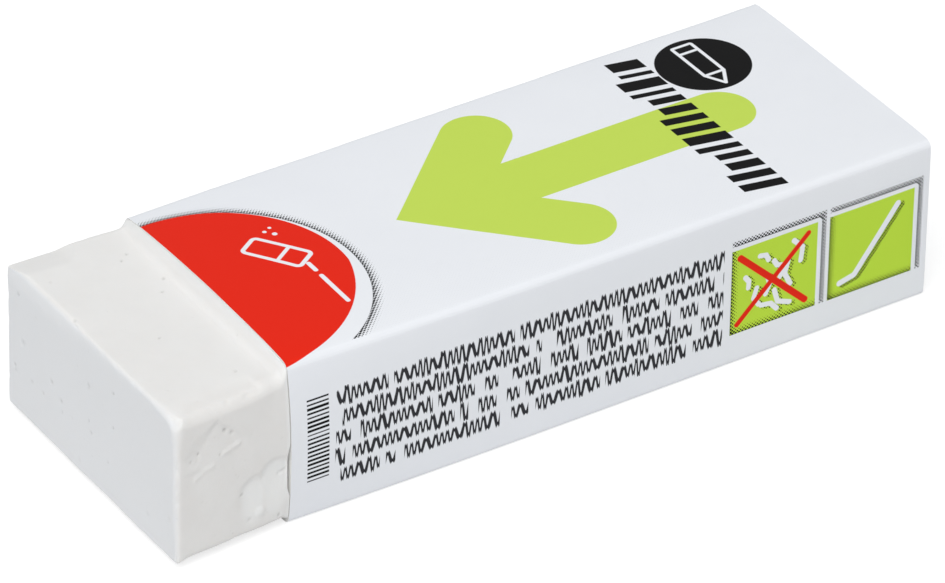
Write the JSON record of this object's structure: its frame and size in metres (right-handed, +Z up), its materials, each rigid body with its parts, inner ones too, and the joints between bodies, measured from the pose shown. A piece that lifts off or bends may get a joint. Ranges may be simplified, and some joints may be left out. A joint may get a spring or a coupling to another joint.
{
  "type": "plastic eraser",
  "caption": "White vinyl eraser block in a folded card sleeve that it slides out of; its worn, slightly swollen working end stands out of the sleeve's mouth.",
  "frame": {"origin": "under the middle of the whole object, on the face it lies on", "axes": "+X along the length, from the block's working end towards the sleeve's closed-over end; +Y across the width; +Z up, through the thickness"},
  "size_m": [0.0644, 0.0236, 0.014],
  "materials": {
    "vinyl": "matte",
    "card": "semi-matte coated"
  },
  "bodies": {
    "sleeve": {"card_sleeve": "card"},
    "block": {"eraser_block": "vinyl"}
  },
  "joints": [
    {"name": "block_slide", "type": "slide", "parent": "sleeve", "child": "block", "axis": [-1, 0, 0], "range_m": [0, 0.04]}
  ]
}
